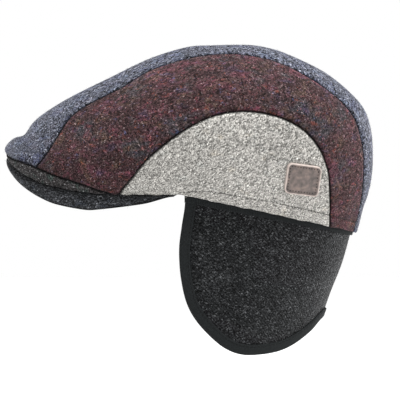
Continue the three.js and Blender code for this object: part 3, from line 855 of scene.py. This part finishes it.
def wool_cloth(name, base, layers, grain_mm, grain, sheen_colour, sheen, twill_mm, twill, yarn, lean=38):
    """Woven wool with a short nap. Each layer is a colour of dyed fibre carded into the yarn: how wide
    its tufts are in mm, the share of the cloth where it shows, how strongly, and how long its tufts
    are drawn out. The grain is the mixture of pale and dark fibres that makes a yarn."""
    made, tree, shader, where = new_material(name)
    flat = cloth_places(tree)
    colour = add_node(tree, "ShaderNodeRGB").outputs[0]
    colour.default_value = hex_colour(base)
    for i, (code, wide, share, amount, drawn) in enumerate(layers):
        combed = add_node(tree, "ShaderNodeMapping", inputs={
            "Vector": where, "Rotation": (0, math.radians(-18 + 9 * (i % 5)), 0),
            "Scale": (1 / drawn, 1, 1)})
        tufts = add_node(tree, "ShaderNodeTexNoise", {"noise_dimensions": "4D"}, {
            "Vector": combed.outputs[0], "W": 3.7 * i + 1, "Scale": 1000 / (wide * 2), "Detail": 2.5,
            "Roughness": 0.6, "Distortion": 0.4})
        # The noise is near enough normal about 0.5, so a share of the cloth is a level of it
        level = 0.5 + 0.125 * NormalDist().inv_cdf(1 - share)
        shown = ranged(tree, tufts.outputs["Fac"], (level - 0.06, level + 0.09), (0.0, amount),
                       "SMOOTHSTEP")
        colour = mix(tree, shown, colour, hex_colour(code))
    # Pale and dark fibres
    fibres = noise(tree, where, 1000 / (grain_mm * 2), 4.0, 0.72)
    value = ranged(tree, fibres, (0.36, 0.66), grain)
    # Each crossing of warp and weft shows a short length of yarn, a shade paler or darker than the next
    sway = add_node(tree, "ShaderNodeTexNoise", inputs={"Vector": flat, "Scale": 900.0, "Detail": 1.0})
    swayed = add_node(tree, "ShaderNodeVectorMath", {"operation": "MULTIPLY_ADD"}, {
        0: sway.outputs["Color"], 1: (0.0006, 0.0006, 0), 2: flat})
    laid = add_node(tree, "ShaderNodeMapping", inputs={
        "Vector": swayed.outputs[0], "Rotation": (0, 0, math.radians(lean)), "Scale": (0.62, 1, 1)})
    yarns = add_node(tree, "ShaderNodeTexVoronoi", {"voronoi_dimensions": "2D"}, {
        "Vector": laid.outputs[0], "Scale": 1000 / YARN_MM, "Randomness": 0.85})
    shade = add_node(tree, "ShaderNodeSeparateColor", inputs={"Color": yarns.outputs["Color"]})
    yarn_tone = ranged(tree, shade.outputs["Red"], (0, 1), (1 - yarn, 1 + yarn))
    dome = ranged(tree, yarns.outputs["Distance"], (0, 1), (0.5, 0.0))
    # The ridges of the twill
    turned = add_node(tree, "ShaderNodeMapping", inputs={
        "Vector": flat, "Rotation": (0, 0, math.radians(-52))})
    rows = ribs(tree, turned.outputs[0], twill_mm, 1.6, 3.0)
    ridge = ranged(tree, rows, (0, 1), (1 - twill, 1 + twill))
    # Wear and the light in the pile drift slowly over the cloth
    worn = ranged(tree, noise(tree, where, 1000 / 34, 2.0), (0.3, 0.7), (1 - DRIFT, 1 + DRIFT))
    # Painted shade: cloth that turns down into a seam or the hem line, and cloth by the peak's rim and the
    # flap's bound edge, is darkened, with a ragged edge to it where the nap stands
    ragged = maths(tree, "MULTIPLY_ADD", fibres, 1.4, attribute(tree, "painted_shade_mm"))
    crease_shade = ranged(tree, ragged, (1.05, 2.4), (0.1, 1.0), "SMOOTHSTEP")
    for part in (yarn_tone, ridge, worn, crease_shade):
        value = maths(tree, "MULTIPLY", value, part)
    height = maths(tree, "MULTIPLY_ADD", rows, 0.35, maths(tree, "ADD", fibres, dome))
    surface(tree, shader, scaled(tree, colour, value), 0.95, 0.1, (height, 0.5, 0.6))
    # The pale ends of the nap catch the light, the dark ones don't
    gleam = maths(tree, "MULTIPLY", value, sheen, clamp=True)
    tree.links.new(gleam, shader.inputs["Sheen Weight"])
    shader.inputs["Sheen Roughness"].default_value = 0.5
    shader.inputs["Sheen Tint"].default_value = hex_colour(sheen_colour)
    return made


def ribbed_tape(name, base, light, rib_mm):
    """Black braid: a flat cotton tape with fine cross ribs, dull, a little paler on the crests of its ribs
    and in fine flecks.
    """
    made, tree, shader, where = new_material(name)
    dust = noise(tree, where, 1400.0, 3.0)
    height = maths(tree, "MULTIPLY_ADD", ribs(tree, cloth_places(tree), rib_mm, 0.6), 0.3, dust)
    surface(tree, shader, ramp(tree, height, [(0.35, base), (1.0, light)]), 0.85, 0.12, (height, 0.5, 0.3))
    return made


def label_hide(name):
    """Vegetable-tanned calf, pressed: a taupe sunk field with a fine grain and a pale burnished rim."""
    made, tree, shader, where = new_material(name)
    grain = add_node(tree, "ShaderNodeTexVoronoi", {"feature": "DISTANCE_TO_EDGE"},
                     {"Vector": where, "Scale": 1000 / 0.7})
    patch = noise(tree, where, 260.0, 4.0)
    field = ramp(tree, patch, [(0.32, "#3b3330"), (0.5, "#4e4440"), (0.68, "#665750")])
    rim = ramp(tree, patch, [(0.3, "#8c817b"), (0.7, "#aa9d96")])
    share = ranged(tree, attribute(tree, "edge_mm"), (0.75, 1.15), (1.0, 0.0))
    surface(tree, shader, mix(tree, share, field, rim), 0.55, 0.4, (grain.outputs["Distance"], 0.35, 0.2))
    return made


def mottled(name, code, scale, span, tones, roughness, specular):
    """One colour, here and there a shade paler or darker."""
    made, tree, shader, where = new_material(name)
    tone = ranged(tree, noise(tree, where, scale, 2.0), span, tones)
    surface(tree, shader, scaled(tree, hex_colour(code)[:3], tone), roughness, specular)
    return made


def sewing_thread(name, code):
    """Spun polyester thread: smooth, with a slight lustre and the twist of its plies."""
    return mottled(name, code, 3000.0, (0, 1), (0.7, 1.3), 0.85, 0.15)


def loose_fibre(name, code):
    """Single wool fibres that stand off the cloth: some pale, some nearly as dark as the yarn."""
    return mottled(name, code, 700.0, (0.35, 0.65), (0.4, 1.5), 0.8, 0.2)


navy_tweed = wool_cloth(
    "navy herringbone wool", "#24262f",
    [("#1d2138", 5, 0.35, 0.6, 1.6), ("#36404f", 4, 0.2, 0.5, 1.4), ("#38343d", 5, 0.25, 0.5, 1.5),
     ("#74767d", 0.7, 0.25, 0.55, 1.3), ("#111217", 0.7, 0.25, 0.65, 1.2)],
    0.45, (0.1, 2.8), "#c6c8d2", 0.14, 1.6, 0.12, 1.0)
burgundy_tweed = wool_cloth(
    "burgundy donegal wool", "#25191a",
    [("#222528", 8, 0.3, 0.75, 1.5), ("#3c2229", 6, 0.3, 0.7, 1.6), ("#2a2433", 6, 0.2, 0.7, 1.5),
     ("#342921", 5, 0.24, 0.65, 1.4), ("#572b22", 1.8, 0.13, 0.55, 1.6), ("#4c2530", 2.0, 0.15, 0.5, 1.6),
     ("#27324c", 1.4, 0.09, 0.6, 1.4), ("#2c3a30", 1.4, 0.08, 0.6, 1.4), ("#8f4c24", 0.9, 0.05, 0.75, 1.2),
     ("#7a6c6d", 0.7, 0.16, 0.45, 1.2), ("#100c0d", 0.7, 0.2, 0.5, 1.2)],
    0.45, (0.15, 2.5), "#b59194", 0.12, 1.5, 0.06, 0.7)
grey_tweed = wool_cloth(
    "light grey melange wool", "#807e7a",
    [("#8d8476", 5, 0.12, 0.35, 1.3), ("#6f7270", 4, 0.2, 0.3, 1.4), ("#b8b7b2", 0.7, 0.2, 0.5, 1.3),
     ("#343330", 0.7, 0.22, 0.65, 1.2)],
    0.4, (0.3, 1.85), "#ffffff", 0.08, 1.5, 0.03, 0.6)
band_tweed = wool_cloth(
    "charcoal tweed of the band", "#211f1f",
    [("#1f2b27", 3, 0.2, 0.6, 1.4), ("#6a6a6b", 0.7, 0.2, 0.55, 1.3), ("#0a0a0b", 0.7, 0.25, 0.7, 1.2)],
    0.45, (0.05, 2.95), "#b0b2b5", 0.06, 1.5, 0.1, 1.0)
peak_tweed = wool_cloth(
    "charcoal tweed of the peak", "#1c1d1f",
    [("#1e222a", 4, 0.25, 0.4, 1.5), ("#5c5e61", 0.8, 0.18, 0.5, 1.5), ("#0a0a0b", 0.8, 0.25, 0.7, 1.2)],
    0.5, (0.05, 2.95), "#b8b8b8", 0.08, 1.5, 0.12, 1.0)
flap_wool = wool_cloth(
    "boiled wool, dark charcoal", "#0a0b0c",
    [("#1a1b1c", 6, 0.3, 0.5, 1.4), ("#343536", 0.7, 0.32, 0.6, 1.5), ("#050505", 0.7, 0.3, 0.7, 1.2)],
    0.45, (0.05, 2.9), "#c8c8c9", 0.13, 1.9, 0.25, 1.0, lean=-38)
black_tape = ribbed_tape("black cotton braid", "#050606", "#1d2021", 0.9)
leather = label_hide("pressed taupe calf leather")

pieces.update(peak=peak, earflap=earflap, earflap_binding=binding, earflap_top_tape=top_tape,
              label_patch=label)
dress = {
    "crown_centre_strip": (navy_tweed, "navy_tweed"),
    "crown_side_left": (burgundy_tweed, "burgundy_tweed"),
    "crown_side_right": (burgundy_tweed, "burgundy_tweed"),
    "side_insert_left": (grey_tweed, "grey_tweed"),
    "side_insert_right": (grey_tweed, "grey_tweed"),
    "front_band": (band_tweed, "charcoal_tweed"),
    "peak": (peak_tweed, "charcoal_tweed"),
    "earflap": (flap_wool, "flap_wool"),
    "earflap_binding": (black_tape, "black_tape"),
    "earflap_top_tape": (black_tape, "black_tape"),
    "label_patch": (leather, "label_leather"),
}
for node, (material, slot) in dress.items():
    pieces[node].data.materials.append(material)
    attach(pieces[node], "root")
    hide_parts(node)


# Stitches and loose fibres are laid by nodes and kept as plain meshes
def through_nodes(name, data, slot, material, lay):
    """A piece that nodes make from a mesh or curve; lay adds them to a tree, from the start's shape on."""
    group = bpy.data.node_groups.new(name, "GeometryNodeTree")
    for way in ("INPUT", "OUTPUT"):
        group.interface.new_socket(name="Geometry", in_out=way, socket_type="NodeSocketGeometry")
    laid = lay(group, group.nodes.new("NodeGroupInput").outputs[0])
    real = add_node(group, "GeometryNodeRealizeInstances", inputs={"Geometry": laid})
    dressed = add_node(group, "GeometryNodeSetMaterial", inputs={
        "Geometry": real.outputs[0], "Material": material})
    add_node(group, "NodeGroupOutput", inputs={0: dressed.outputs[0]})
    start = placed(name + "_start", data)
    start.modifiers.new("nodes", "NODES").node_group = group
    start.update_tag()
    bpy.context.view_layer.update()
    seen = start.evaluated_get(bpy.context.evaluated_depsgraph_get())
    made = placed(name, bpy.data.meshes.new_from_object(seen))
    bpy.data.objects.remove(start)
    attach(made, "root")
    return made


def sew(name, lines, thread, spacing, length, radius, slot):
    """Stitches along lines of points: a bead of thread for each."""
    path = bpy.data.curves.new(name, "CURVE")
    path.dimensions = "3D"
    for line in lines:
        spline = path.splines.new("POLY")
        spline.points.add(len(line) - 1)
        spline.points.foreach_set("co", np.column_stack([line * MM, np.ones(len(line))]).ravel())

    def lay(group, curve):
        spaced = add_node(group, "GeometryNodeResampleCurve", {"mode": "LENGTH"}, {
            "Curve": curve, "Length": spacing * MM})
        along = add_node(group, "GeometryNodeInputTangent")
        turn = add_node(group, "FunctionNodeAlignRotationToVector", {"axis": "X"},
                        {"Vector": along.outputs[0]})
        uneven = add_node(group, "FunctionNodeRandomValue", {"data_type": "FLOAT_VECTOR"}, {
            "Min": (0.9, 0.9, 0.85), "Max": (1.1, 1.1, 1.1), "Seed": 11})
        bead = add_node(group, "GeometryNodeMeshUVSphere", inputs={
            "Segments": 8, "Rings": 6, "Radius": 1.0})
        shaped = add_node(group, "GeometryNodeTransform", inputs={
            "Geometry": bead.outputs["Mesh"], "Scale": (length / 2 * MM, radius * MM, radius * MM)})
        smooth = add_node(group, "GeometryNodeSetShadeSmooth", inputs={"Geometry": shaped.outputs[0]})
        return add_node(group, "GeometryNodeInstanceOnPoints", inputs={
            "Points": spaced.outputs[0], "Instance": smooth.outputs[0], "Rotation": turn.outputs[0],
            "Scale": uneven.outputs[0]}).outputs[0]

    return through_nodes(name, path, slot, thread, lay)


hem_points = crown_point(*hem_left.T)
hem_lift = crown_height(hem_points, *from_lines(hem_points)) + 0.05
hem_line = hem_points + crown_normal(*hem_left.T) * hem_lift[:, None]
hem_right = hem_line * np.array([1, -1, 1])
sew("hem_stitches", [hem_line, hem_right], sewing_thread("grey polyester thread", "#2b2a29"),
    2.9, 2.3, 0.26, "grey_tweed")
binding_stitches = sew("binding_stitches", [binding_stitch_line],
                       sewing_thread("black polyester thread", "#060707"), 3.1, 2.4, 0.24, "black_tape")
# Near-black dots of thread at the label's stitch holes: partly thread, partly painted shade of the holes
marks = rounded_square(LABEL["wide"] - 2 * MARKS_IN, LABEL["high"] - 2 * MARKS_IN, 1.6)
marks = np.vstack([marks, marks[:1]])
marks = on_label(marks, np.full(len(marks), GAP + LABEL["thick"] * FIELD_SHARE))
sew("label_stitches", [marks], sewing_thread("near-black label stitch dots, painted hole shade", "#15110f"),
    2.3, 1.0, 0.4, "label_leather")

# Fuzz: loose fibres of the nap, lying over the outer faces and standing off at the outline
FIBRES_PER_M2 = 130000.0 if FINE else 60000.0
FIBRE_LONG, FIBRE_RADIUS = 2.0, 0.02


def lay_fuzz(group, cloth):
    place = add_node(group, "GeometryNodeInputPosition")
    faced = add_node(group, "GeometryNodeInputNormal")
    outward = add_node(group, "ShaderNodeVectorMath", {"operation": "DOT_PRODUCT"},
                       {0: place.outputs[0], 1: faced.outputs[0]})
    roots = add_node(group, "GeometryNodeDistributePointsOnFaces", inputs={
        "Mesh": cloth, "Selection": maths(group, "GREATER_THAN", outward.outputs["Value"], 0.0),
        "Density": FIBRES_PER_M2, "Seed": 5})
    bent = add_node(group, "GeometryNodeCurveQuadraticBezier", inputs={
        "Resolution": 3, "Start": (0, 0, -0.08), "Middle": (0.22, 0, 0.6), "End": (0.75, 0, 0.7)})
    sized = add_node(group, "GeometryNodeTransform", inputs={
        "Geometry": bent.outputs[0], "Scale": [FIBRE_LONG * MM] * 3})
    ring = add_node(group, "GeometryNodeCurvePrimitiveCircle", inputs={
        "Resolution": 3, "Radius": FIBRE_RADIUS * MM})
    hair = add_node(group, "GeometryNodeCurveToMesh", inputs={
        "Curve": sized.outputs[0], "Profile Curve": ring.outputs["Curve"]})
    lean = add_node(group, "FunctionNodeRandomValue", {"data_type": "FLOAT_VECTOR"}, {
        "Min": (-0.9, 0.1, -3.15), "Max": (0.9, 1.25, 3.15), "Seed": 6})
    turn = add_node(group, "FunctionNodeEulerToRotation", inputs={0: lean.outputs[0]})
    laid = add_node(group, "FunctionNodeRotateRotation", {"rotation_space": "LOCAL"}, {
        "Rotation": roots.outputs["Rotation"], "Rotate By": turn.outputs[0]})
    grown = add_node(group, "FunctionNodeRandomValue", {"data_type": "FLOAT"},
                     {2: 0.45, 3: 1.25, "Seed": 7})
    return add_node(group, "GeometryNodeInstanceOnPoints", inputs={
        "Points": roots.outputs["Points"], "Instance": hair.outputs[0], "Rotation": laid.outputs[0],
        "Scale": grown.outputs[1]}).outputs[0]


fibres_of = {
    "navy_tweed": loose_fibre("navy wool fibre", "#4d4f5a"),
    "burgundy_tweed": loose_fibre("burgundy wool fibre", "#66494c"),
    "grey_tweed": loose_fibre("grey wool fibre", "#a5a39c"),
    "charcoal_tweed": loose_fibre("charcoal wool fibre", "#303132"),
    "flap_wool": loose_fibre("boiled wool fibre", "#2e2e2f"),
}
for node, (_, slot) in dress.items():
    if slot in fibres_of:
        through_nodes(node + "_fuzz", pieces[node].data.copy(), slot, fibres_of[slot], lay_fuzz)


# Stage: a pale floor under the cap, soft light and the camera
FLOOR_Z, FLOOR_REACH = -170, 6000
floor = mesh_object("studio_floor", [
    (x * FLOOR_REACH, y * FLOOR_REACH, FLOOR_Z) for x, y in ((-1, -1), (1, -1), (1, 1), (-1, 1))],
    [(0, 1, 2, 3)])
paper = mottled("matt white paper sweep", "#fefefe", 0.6, (0, 1), (0.98, 1.0), 0.9, 0.5)
floor.data.materials.append(paper)

world = bpy.data.worlds.new("studio")
world.use_nodes = True
world.node_tree.nodes["Background"].inputs["Color"].default_value = (1, 1, 1, 1)
world.node_tree.nodes["Background"].inputs["Strength"].default_value = 1.0
bpy.context.scene.world = world


def soft_light(name, place, size, power):
    """A round light that points at the cap."""
    data = bpy.data.lights.new(name, "AREA")
    data.shape, data.size, data.energy = "DISK", size, power
    made = placed(name, data)
    made.location = place
    made.rotation_euler = (-Vector(place)).to_track_quat("-Z", "Y").to_euler()


soft_light("key_above", (0.25, -0.5, 1.8), 1.0, 66)
soft_light("rim_back", (1.5, 0.35, 0.4), 0.7, 15)

CAMERA_AWAY = 3.0
PHOTO_SPAN = 0.3  # the photograph's 400 pixels, at 0.75 mm each
camera_data = bpy.data.cameras.new("camera")
camera_data.lens = camera_data.sensor_width * CAMERA_AWAY / PHOTO_SPAN
camera_data.clip_end = 50
camera = placed("camera", camera_data)
camera.location = (-0.015, -CAMERA_AWAY, 0.0015)
camera.rotation_euler = (math.radians(90), 0, 0)
bpy.context.scene.camera = camera
bpy.context.scene.view_settings.view_transform = "Standard"
